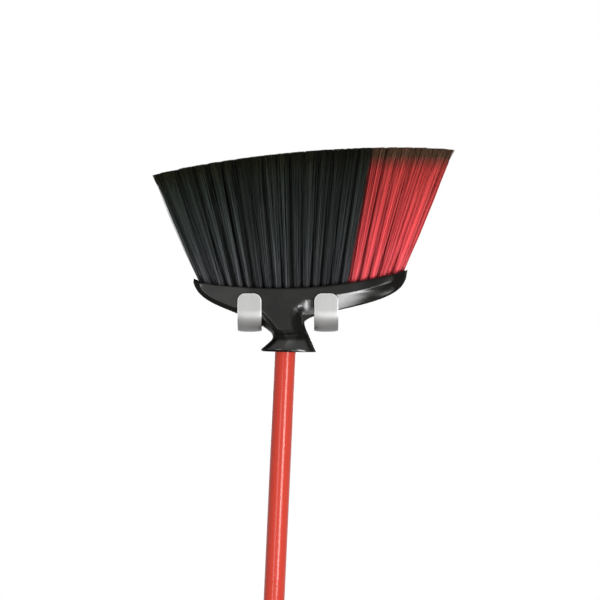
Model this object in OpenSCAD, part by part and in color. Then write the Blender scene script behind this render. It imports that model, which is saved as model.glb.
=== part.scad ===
// Two-hook wall rack with an angle broom hung head-up in it.
// Millimetres. The wall is the plane y = 0, the room lies towards -Y, and +Z is up.
// The origin is the centre of the wall plate's back face.

/* [Wall plate] */
// Width of the plate
plate_w = 170; // [164:1:230]
// Height of the plate
plate_h = 40; // [36:1:48]
// Thickness of the plate
plate_t = 3; // [2:0.5:5]
// Radius of the plate's corners
plate_corner_r = 6; // [2:0.5:12]
// Distance between the two wall screw holes
screw_spacing = 140; // [132:1:148]
// Diameter of the wall screw holes
screw_hole_d = 5.5; // [4:0.1:8]

/* [Hooks] */
// Width of the hook strap
strap_w = 25; // [20:0.5:28]
// Thickness of the hook strap
strap_t = 3; // [2:0.25:5]
// Height of the plate's centre above the centre of the hook's bend
hook_drop = 51; // [46:0.5:60]
// Height of the hook's tip above the centre of its bend
tip_rise = 18; // [14:0.5:24]
// Radius of the corners at the hook's tip
tip_corner_r = 8; // [2:0.5:9]
// Distance from the plate's top edge to the top of the strap
strap_inset = 2; // [0:0.5:4]
// Diameter of a rivet's shank
rivet_d = 5; // [3:0.5:6]
// Diameter of a rivet's flush heads
rivet_head_d = 8; // [7:0.5:10]
// Distance between the two rivets of a hook
rivet_pitch = 20; // [14:1:22]
// Room between the broom's skirt and each hook as it lifts out
pass_clear = 0.7; // [0.4:0.1:3]
// Room between the head's widest faces and each leg of the hook
hook_clear = 0.8; // [0.5:0.1:3]

/* [Broom head] */
// Reach of the left wing from the middle of the hooks
left_reach = 99; // [90:1:110]
// Reach of the right wing from the middle of the hooks
right_reach = 125; // [115:1:135]
// Depth of the head across its lip, front to back
head_depth = 38; // [36:0.5:42]
// Height of the lip at the middle of the head
lip_h = 10; // [7:0.5:12]
// Radius of the dished face that holds the tufts
face_r = 490; // [420:5:700]
// Width of the neck at its waist
neck_w = 34.5; // [33:0.5:37]
// Depth of the neck at its waist
neck_depth = 34.5; // [32:0.5:36]
// Width of the skirt round the handle's mouth
skirt_w = 53.6; // [46:0.2:58]
// Depth of the skirt
skirt_depth = 35; // [32:0.5:37]
// Height of the skirt's foot below the dished face
skirt_drop = 66.6; // [62:0.2:76]
// Width of the rim round the tufts
rim = 3; // [2:0.25:4]
// How far the left end of the rim rises beside the tufts
horn = 2.5; // [0:0.25:4]

/* [Tufts] */
// Tufts side by side along the head
tuft_columns = 22; // [20:1:22]
// How many of these columns, counted from the left, are black
black_columns = 16; // [14:1:17]
// Thickness of the backing under the tufts
backing_t = 4; // [3:0.25:6]
// Room between the outer rows of tufts and the rim
row_margin = 2; // [1:0.25:3]
// Room between the end tufts of a row and the rim
column_margin = 2; // [1:0.25:6]
// Thickness of a strand
strand_w = 2.2; // [1:0.1:2.4]
// Height of the trimmed tips above the dished face
trim_h = 147; // [120:1:160]
// Radius of the trimmed edge
trim_r = 1170; // [900:10:1500]
// Place of the highest tip to the right of the hooks' middle
trim_x = 115; // [60:1:130]
// How much wider the fan is at its tips than at its root
fan_spread = 1.46; // [1.1:0.01:1.5]
// How much deeper the fan is at its tips than at its root
fan_depth = 1.45; // [1:0.01:1.5]

/* [Handle] */
// Diameter of the handle tube
handle_d = 22; // [20:0.5:23]
// Wall of the handle tube
handle_wall = 1; // [0.6:0.1:2]
// Length of the handle tube
handle_len = 900; // [600:10:1400]
// Lean of the handle, its foot towards the left
handle_lean = 2.6; // [0:0.1:4]
// How deep the tube goes into the skirt
socket_depth = 14; // [10:0.5:18]
// Diameter of the handle's threaded end
thread_d = 17.5; // [14:0.5:18]
// Length of the handle's threaded end
thread_len = 26; // [18:1:30]
// Length of the plugs inside both ends of the tube
plug_len = 25; // [15:1:60]
// Thickness of the collars at both ends of the tube
collar_t = 2; // [1:0.25:4]
// Thickness of the cap's hanging tab
tab_t = 10; // [6:0.5:14]
// Width of the cap's hanging tab
tab_w = 20; // [16:0.5:20]
// Diameter of the hang hole
hang_hole_d = 8; // [6:0.5:10]
// Distance from the collar to the hang hole
tab_len = 16; // [10:1:30]

/* [Hidden] */
$fn = 64;

// Fits: rivets in their holes, parts at rest on each other, tufts in the head, the handle in its socket
rivet_fit = 0.05;
rest_gap = 0.3;
tuft_fit = 0.15;
plug_fit = 0.1;
thread_fit = 0.25;
socket_fit = 0.4;
cut = 1;

// Rack: the skirt sets the gap between the hooks, and the head's depth sets the hook's bend
hook_gap = skirt_w + 2 * pass_clear;
hook_x = (hook_gap + strap_w) / 2;
hook_r = head_depth / 2 + hook_clear;
strap_y = -plate_t - strap_t;
mid_y = strap_y - hook_r;
bend_z = -hook_drop;
strap_top = plate_h / 2 - strap_inset;
rivet_head_h = (rivet_head_d - rivet_d) / 2;

// Head, in its own frame: x from the hooks' middle, y from the mid-plane, z from the lowest point of its face
face_x = -10;
tuft_rows = 5;
function face_z(x) = pow(x - face_x, 2) / (2 * face_r);
function mix(a, b, t) = a + (b - a) * t;
function bezier(p, t) =
    pow(1 - t, 3) * p[0] + 3 * t * pow(1 - t, 2) * p[1] + 3 * t * t * (1 - t) * p[2] + pow(t, 3) * p[3];

// Waist of the neck, higher on the right, and the lower edges of both wings that run down to it
neck_x = -0.65;
left_waist = [neck_x - neck_w / 2, -46.5];
right_waist = [neck_x + neck_w / 2, -36.5];
left_tip = [-left_reach, face_z(-left_reach) - 3];
right_tip = [right_reach, face_z(right_reach) - 7];
left_edge = [left_tip, left_tip + [7, -22], left_waist + [-28, 25], left_waist];
right_edge = [right_tip, right_tip + [-13, -31], right_waist + [4, 13], right_waist];

// A ring is a closed outline round the head, drawn from its left end to its right end: [left end, right end,
// height at its middle, half depth, shield from, shield to, half depth of shield, squareness left and right]
wing_square = 10;
left_square = 3.5;
right_square = 7;
neck_square = 3;
lip_mid = face_z((right_reach - left_reach) / 2) - lip_h;
waist_mid = (left_waist[1] + right_waist[1]) / 2;
shield_top = [-38, 11];
shield_foot = [-9, 14];
wing_steps = [0, 0.04, 0.15, 0.3, 0.45, 0.6, 0.75, 0.88, 1];
function wing_ring(t) = [
    bezier(left_edge, t), bezier(right_edge, t), mix(lip_mid, waist_mid, t),
    mix(head_depth / 2, neck_depth / 2, pow(t, 3)),
    mix(shield_top[0], shield_foot[0], t), mix(shield_top[1], shield_foot[1], t), head_depth / 2,
    mix(wing_square, left_square, pow(t, 0.25)), mix(wing_square, right_square, pow(t, 0.25))
];
function face_ring(inset, drop, lift) =
    let (l = -left_reach + inset, r = right_reach - inset, half = head_depth / 2 - inset)
    [[l, face_z(l) - drop + lift], [r, face_z(r) - drop], face_z((l + r) / 2) - drop, half,
     shield_top[0], shield_top[1], half, wing_square, wing_square];

// Ledge under the shield, then the skirt that flares to the handle's mouth
ledge_z = -47;
ledge_h = 0.8;
skirt_half = skirt_depth / 2;
notch = [left_waist[0] + 2.5, -52];
foot_left = [-skirt_w / 2, -skirt_drop + 4.6];
foot_right = [skirt_w / 2, -skirt_drop - 0.3];
function right_side(z) = mix(right_waist[0], foot_right[0], (z - right_waist[1]) / (foot_right[1] - right_waist[1]));
function neck_ring(left, right_z, mid, half, from, to) =
    [left, [right_side(right_z), right_z], mid, half - 2.5, from, to, half, neck_square, neck_square];
neck_rings = [
    neck_ring([left_waist[0] + 0.7, ledge_z - 0.8], ledge_z + 0.5, ledge_z, head_depth / 2, -9, 15),
    neck_ring([left_waist[0] + 1, ledge_z - 1.6], ledge_z - 0.3, ledge_z - ledge_h, neck_depth / 2 - 1, -9.5, 15.5),
    neck_ring(notch, notch[1], notch[1], neck_depth / 2 - 1.2, -9.5, 16),
    neck_ring(mix(notch, foot_left, 0.52), -57, -56.7, mix(neck_depth / 2 - 1, skirt_half, 0.4), -13, 17),
    neck_ring(foot_left, foot_right[1] + 2, -skirt_drop + 2.5, skirt_half, -20, 20),
    neck_ring([foot_left[0] + 1.5, -skirt_drop + 1.3], foot_right[1], -skirt_drop, skirt_half - 0.6, -19.5, 19.5)
];
head_rings = concat(
    [face_ring(rim, backing_t + rest_gap, 0), face_ring(rim, 0, horn), face_ring(0, 0, horn)],
    [for (t = wing_steps) wing_ring(t)],
    neck_rings
);

// Places along a ring, from its end to the foot of the shield's slope
end_steps = [0, 0.03, 0.1, 0.22, 0.42, 0.7, 1];
shield_slope = 7;
slope_share = 0.6;
function slope_left(r) = min(shield_slope, slope_share * (r[4] - r[0][0]));
function slope_right(r) = min(shield_slope, slope_share * (r[1][0] - r[5]));
function ring_xs(r) = concat(
    [for (f = end_steps) mix(r[0][0], r[4] - slope_left(r), f)],
    [r[4], (r[4] + r[5]) / 2, r[5]],
    [for (i = [len(end_steps) - 1 : -1 : 0]) mix(r[1][0], r[5] + slope_right(r), end_steps[i])]
);
function ring_u(r, x) = (x - r[0][0]) / (r[1][0] - r[0][0]);
function ring_z(r, x) =
    let (u = ring_u(r, x))
    r[0][1] * (1 - u) * (1 - 2 * u) + 4 * r[2] * u * (1 - u) + r[1][1] * u * (2 * u - 1);
function ring_half(r, x) =
    let (v = 2 * ring_u(r, x) - 1)
    r[3] * sqrt(max(0, 1 - pow(abs(v), v < 0 ? r[7] : r[8])));
function ring_y(r, x) = x >= r[4] && x <= r[5] ? max(r[6], ring_half(r, x)) : ring_half(r, x);
function ring_points(r) =
    let (xs = ring_xs(r), last = len(xs) - 1)
    concat(
        [for (x = xs) [x, -ring_y(r, x), ring_z(r, x)]],
        [for (i = [last - 1 : -1 : 1]) [xs[i], ring_y(r, xs[i]), ring_z(r, xs[i])]]
    );

// Height at which the wings come to rest inside the bends of the hooks
strap_samples = 8;
function rest_z(x) = max([
    for (r = head_rings) if (x > r[0][0] && x < r[1][0])
        bend_z - sqrt(max(0, pow(hook_r - rest_gap, 2) - pow(ring_y(r, x), 2))) - ring_z(r, x)
]);
broom_z = max([
    for (side = [-1, 1], i = [0 : strap_samples]) rest_z(side * (hook_gap / 2 + strap_w * i / strap_samples))
]);

// Tufts: the pocket's outline, the columns that fit in each row, and where a strand's root and tip lie
pocket = face_ring(rim + tuft_fit, 0, 0);
column_w = (pocket[1][0] - pocket[0][0] - 2 * column_margin) / tuft_columns;
row_w = (head_depth - 2 * rim - 2 * row_margin) / tuft_rows;
fan_x = 9.8;
function column_x(c) = pocket[0][0] + column_margin + c * column_w;
function row_y(row) = (row - 1 - tuft_rows / 2) * row_w;
function row_reach(row) = max(abs(row_y(row)), abs(row_y(row + 1)));
function fits(row, c) = min(ring_half(pocket, column_x(c)), ring_half(pocket, column_x(c + 1))) >= row_reach(row);
function columns(row) = [for (c = [0 : tuft_columns - 1]) if (fits(row, c)) c];
function trim_z(x) = trim_h - pow(x - trim_x, 2) / (2 * trim_r);
function tip(p) =
    let (x = p[0] + (fan_spread - 1) * (p[0] - fan_x))
    [x, p[1] * fan_depth, trim_z(x)];

// Handle, along its own leaning axis from the middle of the skirt's mouth
handle_x = -2.8;
tube_r = handle_d / 2;
tube_bore_r = tube_r - handle_wall;
plug_r = tube_bore_r - plug_fit;
collar_r = tube_r - plug_fit;
tube_foot = socket_depth - handle_len;
socket_r = tube_r + socket_fit;
socket_top = socket_depth + collar_t + rest_gap;
thread_top = socket_depth + collar_t + thread_len;

function triangles(q) = [[q[2], q[1], q[0]], [q[3], q[2], q[0]]];
function flat(lists) = [for (l = lists, item = l) item];

module in_broom() {
    translate([0, mid_y, broom_z]) children();
}

module in_handle() {
    in_broom() translate([handle_x, 0, -skirt_drop]) rotate([0, handle_lean, 0]) children();
}

// Places its children at both rivets of a hook, with +Z pointing into the room
module at_rivets(x) {
    for (z = [-1, 1] * rivet_pitch / 2)
        translate([x, 0, z]) rotate([90, 0, 0]) children();
}

// A rivet's outline turned round its axis: flush heads at both faces and the shank between them
module rivet_form(spare) {
    length = plate_t + strap_t;
    head_r = rivet_head_d / 2 + spare;
    shank_r = rivet_d / 2 + spare;
    rotate_extrude()
        polygon([
            [0, 0], [head_r, 0], [shank_r, rivet_head_h],
            [shank_r, length - rivet_head_h], [head_r, length], [0, length]
        ]);
}

module rounded_plate(w, h, t, r) {
    rotate([90, 0, 0])
        linear_extrude(t) {
            square([w - 2 * r, h], center = true);
            square([w, h - 2 * r], center = true);
            for (x = [-1, 1], z = [-1, 1])
                translate([x * (w / 2 - r), z * (h / 2 - r)]) circle(r);
        }
}

module wall_plate() {
    color("silver")
        difference() {
            rounded_plate(plate_w, plate_h, plate_t, plate_corner_r);
            for (x = [-1, 1] * screw_spacing / 2)
                translate([x, cut, 0]) rotate([90, 0, 0]) cylinder(d = screw_hole_d, h = plate_t + 2 * cut);
            for (x = [-1, 1] * hook_x)
                at_rivets(x) rivet_form(rivet_fit);
        }
}

// The quarter of a square corner that lies outside its rounding
module corner_waste(r) {
    difference() {
        translate([0, -strap_t - cut, 0]) cube([r + cut, strap_t + 2 * cut, r + cut]);
        translate([0, cut + 1, 0]) rotate([90, 0, 0]) cylinder(r = r, h = strap_t + 2 * cut + 2);
    }
}

// A strap bent to a J: back leg on the plate, half a turn, and a front leg with rounded corners
module hook(x) {
    front_y = mid_y - hook_r;
    color("lightgray")
        difference() {
            translate([x - strap_w / 2, 0, 0]) {
                translate([0, strap_y, bend_z]) cube([strap_w, strap_t, strap_top - bend_z]);
                translate([0, mid_y, bend_z]) rotate([90, 0, 90])
                    difference() {
                        cylinder(r = hook_r + strap_t, h = strap_w);
                        translate([0, 0, -cut]) cylinder(r = hook_r, h = strap_w + 2 * cut);
                        translate([-2 * hook_r, 0, -cut]) cube([4 * hook_r, 2 * hook_r, strap_w + 2 * cut]);
                    }
                translate([0, front_y - strap_t, bend_z]) cube([strap_w, strap_t, tip_rise]);
            }
            for (side = [0, 1])
                translate([x, front_y, bend_z + tip_rise - tip_corner_r])
                    mirror([side, 0, 0])
                    translate([strap_w / 2 - tip_corner_r, 0, 0]) corner_waste(tip_corner_r);
            at_rivets(x) rivet_form(rivet_fit);
        }
}

module left_hook() {
    hook(-hook_x);
}

module right_hook() {
    hook(hook_x);
}

module hook_rivets() {
    color("gray")
        for (x = [-1, 1] * hook_x)
            at_rivets(x) rivet_form(0);
}

// Moulded head: one skin drawn through all the rings, from the floor of the tuft pocket to the skirt's foot
module head_skin() {
    count = 2 * len(ring_xs(head_rings[0])) - 2;
    half = count / 2;
    last = (len(head_rings) - 1) * count;
    walls = [
        for (k = [0 : len(head_rings) - 2], i = [0 : count - 1])
            let (j = (i + 1) % count)
            triangles([(k + 1) * count + i, (k + 1) * count + j, k * count + j, k * count + i])
    ];
    floor_faces = [for (i = [1 : half - 2]) triangles([i, i + 1, count - i - 1, count - i])];
    foot_faces = [
        for (i = [1 : half - 2])
            triangles([last + count - i, last + count - i - 1, last + i + 1, last + i])
    ];
    ends = [
        [count - 1, 1, 0], [half, half - 1, half + 1],
        [last, last + 1, last + count - 1], [last + half + 1, last + half - 1, last + half]
    ];
    polyhedron(
        points = flat([for (r = head_rings) ring_points(r)]),
        faces = concat(flat(walls), flat(floor_faces), flat(foot_faces), ends)
    );
}

module broom_head() {
    color([0.12, 0.12, 0.12])
        difference() {
            in_broom() head_skin();
            in_handle() {
                translate([0, 0, -skirt_w / 2]) cylinder(r = socket_r, h = socket_top + skirt_w / 2);
                cylinder(r = thread_d / 2 + thread_fit, h = thread_top + rest_gap);
            }
        }
}

// One row of tufts: a strip of backing that follows the dished face, with four strands on each tuft
module tuft_row(row, cols) {
    n = 2 * len(cols);
    y_from = row_y(row) + tuft_fit / 2;
    y_step = (row_w - tuft_fit) / 2;
    x_from = column_x(cols[0]) + tuft_fit / 2;
    x_step = (len(cols) * column_w - tuft_fit) / n;
    function x_at(i) = x_from + i * x_step;
    function y_at(j) = y_from + j * y_step;
    function root(i, j) = [x_at(i + 0.5), y_at(j + 0.5)];
    sides = [[-1, -1], [1, -1], [1, 1], [-1, 1]] * strand_w / 2;
    top = [for (i = [0 : n], j = [0 : 2]) [x_at(i), y_at(j), face_z(x_at(i))]];
    bottom = [for (i = [0 : n], j = [0, 2]) [x_at(i), y_at(j), face_z(x_at(i)) - backing_t]];
    strands = [
        for (i = [0 : n - 1], j = [0, 1])
            let (p = root(i, j), q = tip(p))
            concat(
                [for (s = sides) [p[0] + s[0], p[1] + s[1], face_z(p[0] + s[0])]],
                [for (s = sides) [q[0] + s[0], q[1] + s[1], trim_z(q[0] + s[0])]]
            )
    ];
    under = len(top);
    first = under + len(bottom);
    cells = [
        for (i = [0 : n - 1], j = [0, 1], m = [0 : 3])
            let (
                corner = [i * 3 + j, i * 3 + 3 + j, i * 3 + 4 + j, i * 3 + 1 + j],
                s = first + 8 * (2 * i + j),
                k = (m + 1) % 4
            )
            concat(
                triangles([corner[m], corner[k], s + k, s + m]),
                triangles([s + m, s + k, s + 4 + k, s + 4 + m])
            )
    ];
    tips = [for (c = [0 : 2 * n - 1]) let (s = first + 8 * c + 4) triangles([s, s + 1, s + 2, s + 3])];
    edges = [
        for (i = [0 : n - 1])
            let (a = under + 2 * i)
            concat(
                triangles([a, a + 2, 3 * i + 3, 3 * i]),
                triangles([a + 3, a + 1, 3 * i + 2, 3 * i + 5]),
                triangles([a, a + 1, a + 3, a + 2])
            )
    ];
    e = under + 2 * n;
    ends = concat(
        [[1, 0, under]], triangles([under, 1, 2, under + 1]),
        [[e, 3 * n, 3 * n + 1]], triangles([e + 1, 3 * n + 2, 3 * n + 1, e])
    );
    polyhedron(
        points = concat(top, bottom, flat(strands)),
        faces = concat(flat(cells), flat(tips), flat(edges), ends)
    );
}

module black_tufts(row) {
    color([0.2, 0.2, 0.2])
        in_broom() tuft_row(row, [for (c = columns(row)) if (c < black_columns) c]);
}

module red_tufts(row) {
    color([0.8, 0.2, 0.22])
        in_broom() tuft_row(row, [for (c = columns(row)) if (c >= black_columns) c]);
}

module handle_tube() {
    color([0.84, 0.22, 0.16])
        in_handle() translate([0, 0, tube_foot])
            difference() {
                cylinder(r = tube_r, h = handle_len);
                translate([0, 0, -cut]) cylinder(r = tube_bore_r, h = handle_len + 2 * cut);
            }
}

// Threaded end: a plug in the tube, a collar on the tube's end and the stud that screws into the head
module handle_thread() {
    color("dimgray")
        in_handle() {
            translate([0, 0, socket_depth - plug_len]) cylinder(r = plug_r, h = plug_len);
            translate([0, 0, socket_depth]) cylinder(r = collar_r, h = collar_t);
            translate([0, 0, socket_depth + collar_t]) cylinder(d = thread_d, h = thread_len);
        }
}

// End cap: a plug in the tube, a collar and a flat tab with the hang hole
module handle_cap() {
    hole_z = tube_foot - collar_t - tab_len;
    color([0.12, 0.12, 0.12])
        in_handle()
            difference() {
                union() {
                    translate([0, 0, tube_foot]) cylinder(r = plug_r, h = plug_len);
                    translate([0, 0, tube_foot - collar_t]) cylinder(r = collar_r, h = collar_t);
                    translate([-tab_w / 2, -tab_t / 2, hole_z]) cube([tab_w, tab_t, tab_len]);
                    translate([0, tab_t / 2, hole_z]) rotate([90, 0, 0]) cylinder(d = tab_w, h = tab_t);
                }
                translate([0, tab_t / 2 + cut, hole_z]) rotate([90, 0, 0])
                    cylinder(d = hang_hole_d, h = tab_t + 2 * cut);
            }
}

wall_plate();
left_hook();
right_hook();
hook_rivets();
broom_head();
black_tufts(1);  // black_tufts_1
black_tufts(2);  // black_tufts_2
black_tufts(3);  // black_tufts_3
black_tufts(4);  // black_tufts_4
black_tufts(5);  // black_tufts_5
red_tufts(1);  // red_tufts_1
red_tufts(2);  // red_tufts_2
red_tufts(3);  // red_tufts_3
red_tufts(4);  // red_tufts_4
red_tufts(5);  // red_tufts_5
handle_tube();
handle_thread();
handle_cap();
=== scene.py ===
"""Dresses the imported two-hook wall rack and its angle broom, in the photograph's view.

Sizes are millimetres, as in the part's source, and become metres where a mesh is made.
The floor, the lamps and the camera are placed in metres.
The wall is the plane y = 0, the room lies towards -Y, and +Z is up.
"""
import math
import random

import bmesh
import bpy
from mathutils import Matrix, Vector


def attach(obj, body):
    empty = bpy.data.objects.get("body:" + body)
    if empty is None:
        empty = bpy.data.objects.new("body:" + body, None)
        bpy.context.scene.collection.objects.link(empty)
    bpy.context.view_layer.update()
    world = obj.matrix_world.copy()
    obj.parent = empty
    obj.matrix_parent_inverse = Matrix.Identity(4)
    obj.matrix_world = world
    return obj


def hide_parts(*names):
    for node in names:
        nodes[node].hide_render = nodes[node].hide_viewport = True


MM = 0.001

# Reach within which a mesh's points are picked by place, and metres within which two of them agree
NEAR = 0.1
SAME_M = 1e-6

# Rack
PLATE_W = 170.0
PLATE_H = 40.0
PLATE_T = 3.0
PLATE_CORNER_R = 6.0
PLATE_EDGE = 0.4
SCREW_SPACING = 140.0
SCREW_HOLE_R = 2.75
STRAP_W = 25.0
STRAP_T = 3.0
STRAP_TOP = 18.0
STRAP_EDGE = 1.1
HOOK_X = 40.0
HOOK_R = 19.8
BEND_Z = -51.0
BEND_STEPS = 32
BEND_CROWN = 1.1
CROWN_POWER = 3
CROWN_CUTS = (-0.7, -0.35, 0.0, 0.35, 0.7)
TIP_RISE = 17.5
TIP_CORNER_R = 8.0
RIVET_R = 2.55
RIVET_HEAD_R = 4.05
RIVET_HEAD_H = 1.5
RIVET_PITCH = 20.0
RIVET_SIDES = 32
HOLE_CUTTER = 12.0
SINK_OUTSIDE = 1.0
SINK_INSIDE = 0.4
# Painted highlight on the straps' rounded edges: how far a face turns for it, and the heights about the bend
# over which it fades in
EDGE_HIGHLIGHT_TURN = (0.1, 0.4)
EDGE_HIGHLIGHT_FADE = (-12.0, -4.0)

# Broom head, in its own frame
MID_Y = -25.8
BROOM_Z = -28.1296
LEFT_REACH = 99.0
RIGHT_REACH = 125.0
HEAD_HALF = 19.0
LIP_H = 10.0
FACE_X = -10.0
FACE_R = 490.0
RIM = 3.0
POCKET_DROP = 0.8
LEFT_HORN = 5.4
RIGHT_HORN = 1.2
LEFT_HORN_RUN = 9.0
RIGHT_HORN_RUN = 12.0
INNER_HORN = 0.8
LEFT_DIP = 2.2
DIP_START = -35.0
DIP_POWER = 1.5
RIGHT_LEAN = 1.1
LEFT_TIP_SHIFT = (-0.6, -1.6)
RIGHT_TIP_SHIFT = (-0.3, -7.0)
LEFT_TIP_PULL = (6.2, -28.9)
RIGHT_TIP_PULL = (-6.0, -33.6)
LEFT_WAIST_PULL = (-28.0, 25.0)
RIGHT_WAIST_PULL = (4.0, 15.5)
NECK_HALF = 17.25
NECK_REACH = 17.6
SKIRT_HALF = 17.5
SKIRT_W = 53.6
SKIRT_DROP = 66.6
LEFT_WAIST = (-17.9, -46.5)
RIGHT_WAIST = (16.6, -36.5)
LEDGE_Z = -47.0
NOTCH_Z = -52.0
FLARE_Z = -57.0

# Shield, facets, bevels and scoop of the head
SHIELD_TOP = (-38.0, 11.0)
SHIELD_FOOT = (-9.0, 14.0)
LEFT_SLOPE = 7.0
RIGHT_SLOPE = 16.0
SHOULDER = 8.0
NECK_BLEND = 3.0
NECK_FILLET = 0.75
LEFT_BEVEL_W = 8.4
LEFT_END_BEVEL = 5.8
RIGHT_BEVEL_W = 2.4
FACET_START = 24.0
FACET_FULL = 46.0
FACET_SLOPE = 0.24
LEFT_FACET_SLOPE = 0.05
SCOOP = 4.4
SCOOP_REACH = 12.0
SCOOP_DROP = 2.0
SCOOP_SLOPE = 0.26

# How square the ends of the head's rings are: 2 is an ellipse
WING_SQUARE = 10.0
LEFT_SQUARE = 3.5
RIGHT_SQUARE = 7.0
NECK_SQUARE = 2.8
SQUARE_POWER = 0.25
DEPTH_POWER = 3

# Shares of the depth that a bevel's steep wall takes, and of the bevel's width that the wall takes
LEFT_WALL = 0.62
NECK_WALL = 0.3
RIGHT_WALL = 0.85
WALL_RUN = 0.06

# Shares of the room on a ring, and limits that keep its stretches in order
LEFT_SLOPE_ROOM = 0.6
RIGHT_SLOPE_ROOM = 0.75
PLAIN_BEVEL = 0.3
BEVEL_ROOM = 0.6
LEAN_ROOM = 0.6
LEAST_STEEP = 0.25
LEAST_END = 0.1

# Points of a ring, as shares of its stretches from left to right
BEVEL_STEPS = (0.0, 0.03, 0.12, 0.3, 0.62, 1.0)
FACET_STEPS = (0.1, 0.35, 0.65, 1.0)
LEFT_SLOPE_STEPS = (1 / 3, 2 / 3)
PLATEAU_STEPS = (0.0, 0.2, 0.4, 0.6, 0.8, 1.0)
RIGHT_SLOPE_STEPS = (0.16, 0.32, 0.48, 0.64, 0.82)
RIGHT_FACET_STEPS = (0.0, 0.22, 0.45, 0.7, 1.0)
RIGHT_BEVEL_STEPS = (0.38, 0.7, 0.88, 0.97, 1.0)

# Rings of the wings, as shares of the way down from the lip to the waist, and what changes on that way
WING_STEPS = (0.0, 0.025, 0.07, 0.13, 0.2, 0.28, 0.36, 0.45, 0.54, 0.63, 0.72, 0.8, 0.87, 0.94, 1.0)
EDGE_PROBE = 0.02
END_BEVEL_RUN = (0.0, 0.3)
NECK_BEVEL_RUN = (0.5, 0.78)
RIGHT_BEVEL_RUN = (0.0, 0.13)
ROUND_RUN = (0.1, 0.5)

# Creases of the head's edge loops
POCKET_CREASE = 0.7
RIM_CREASE = 0.75
LIP_CREASE = 0.8
WING_CREASE = 0.75
LEDGE_CREASE = 0.75
GROOVE_CREASE = 0.5
FOOT_CREASE = 0.9

# Ridges down the wings: station on a ring, crease, and share of the way down at which the crease starts
BEVEL_RIDGE = len(BEVEL_STEPS) - 1
SHIELD_RIDGE = len(BEVEL_STEPS) + len(FACET_STEPS) + len(LEFT_SLOPE_STEPS)
RIDGES = ((BEVEL_RIDGE, 0.7, 0.02), (SHIELD_RIDGE, 0.6, 0.3))

# Radius, rise and crease of each ring of the handle's socket and of the bore for its thread
SOCKET_RINGS = ((12.2, 0.0, 0.7), (11.6, 1.0, 0.7), (11.5, 16.3, 0.9), (9.1, 16.4, 0.9), (9.0, 42.4, 0.9))

# Painted reflection and painted shade of the head, given as coat weight, and the stretches of place or of the
# normal over which it changes
EDGE_REFLECTION = 0.02
FACE_REFLECTION = 0.55
WING_REFLECTION = 0.95
FAR_REFLECTION = 0.015
LIP_FAR_REFLECTION = 0.16
SCOOP_REFLECTION = 0.75
SKIRT_REFLECTION = 0.85
GROOVE_REFLECTION = 0.35
FACING_TURN = (0.7, 0.93)
OPEN_TURN = (0.94, 0.99)
SIDE_TURN = (0.06, 0.18)
FOOT_TURN = (-0.25, -0.08)
FACET_TURN = (0.08, 0.16)
FAR_FADE = (68.0, 115.0)
FAR_FADE_DEPTH = 2.4
LIP_FADE = (68.0, 92.0)
SIDE_FADE = (-24.0, -16.0)
NECK_FADE = (-26.0, -18.0)
GROOVE_FADE = (-45.0, -42.0)
SKIRT_FADE = (-56.0, -52.0)
SCOOP_START = (6.0, 13.0)
SCOOP_END = (20.0, 25.0)
FACET_FADE = (30.0, 44.0)

# Tufts
COLUMN_W = 9.71364
COLUMN_STRETCH = 1.011
FIRST_COLUMN_X = -93.85
ROW_W = 5.6
BLACK_COLUMNS = 16
ROW_COLUMNS = {1: (2, 19), 2: (1, 20), 3: (0, 21), 4: (1, 20), 5: (2, 19)}
MIDDLE_ROW = 3
FAN_X = 9.8
FAN_SPREAD = 0.475
FAN_DEPTH = 0.45
TRIM_H = 147.0
TRIM_X = 115.0
TRIM_R = 1170.0
SINK = 2.0
ROW_SEED = 1000

# Filaments: the columns of the end tufts, then how roots and tips stand about a tuft's middle
END_COLUMNS = (0.5, 21.5)
END_NEAR = 0.75
TUFT_FILAMENTS = 68
END_FILAMENTS = 170
FILAMENT_R = 0.3
ROOT_X = 3.3
ROOT_Y = 2.3
ROOT_POWER = 0.42
TIP_X = 6.4
TIP_Y = 4.1
OUTER_TIP_X = 5.0
INNER_TIP_X = 9.5
STRAY = 1.2
WILD_STRAY = 2.6
WILD_SHARE = 0.08
OUTER_STRAY = 0.25
INNER_STRAY = 0.9
STRAY_Y = 0.7
TRIM_STRAY = 0.5
BOW_X = 0.8
BOW_Y = 0.6
FILAMENT_STEPS = (0.0, 0.3, 0.62)
FILAMENT_RADII = (1.0, 1.0, 0.95, 0.85)

# Split tips of a filament
FLAG_COUNT = 3
FLAG_LENGTH = 15.0
FLAG_RANGE = (0.4, 1.25)
FLAG_X = 0.7
FLAG_Y = 0.9
FLAG_STRAY = 0.4
FLAG_KNEE = 0.15
FLAG_RADII = (0.75, 0.62, 0.5)

# Tones of the filaments, in clumps across each tuft, with painted shade towards each tuft's sides and on the
# inner rows, and painted light on the tufts at the left end
CLUMPS = 10
DARK_CLUMP = 0.3
OWN_TONE = 0.4
SIDE_SHADE = 0.45
INNER_SHADE = 0.5
INNER_ROWS = (2, 3, 4)
INNER_COLUMNS = (2, 20)
LEFT_LIGHT = 1.2
LEFT_COLUMNS = 2.2

# Handle, along its own leaning axis from the middle of the skirt's mouth
HANDLE_X = -2.8
HANDLE_LEAN = math.radians(2.6)
HANDLE_R = 11.0
HANDLE_WALL = 1.0
HANDLE_TOP = 14.0
HANDLE_FOOT = -886.0
TUBE_EDGE = 0.25
CAP_CLEARANCE = 0.1
CAP_EDGE = 0.7
CAP_SIDES = 64
COLLAR_T = 2.0
PLUG_H = 25.0
TAB_LEN = 16.0
TAB_T = 10.0
TAB_R = 10.0
TAB_SINK = 1.0
TAB_UPWARD = 0.02
HANG_HOLE_R = 4.0
HANG_CUTTER = 40.0

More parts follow.
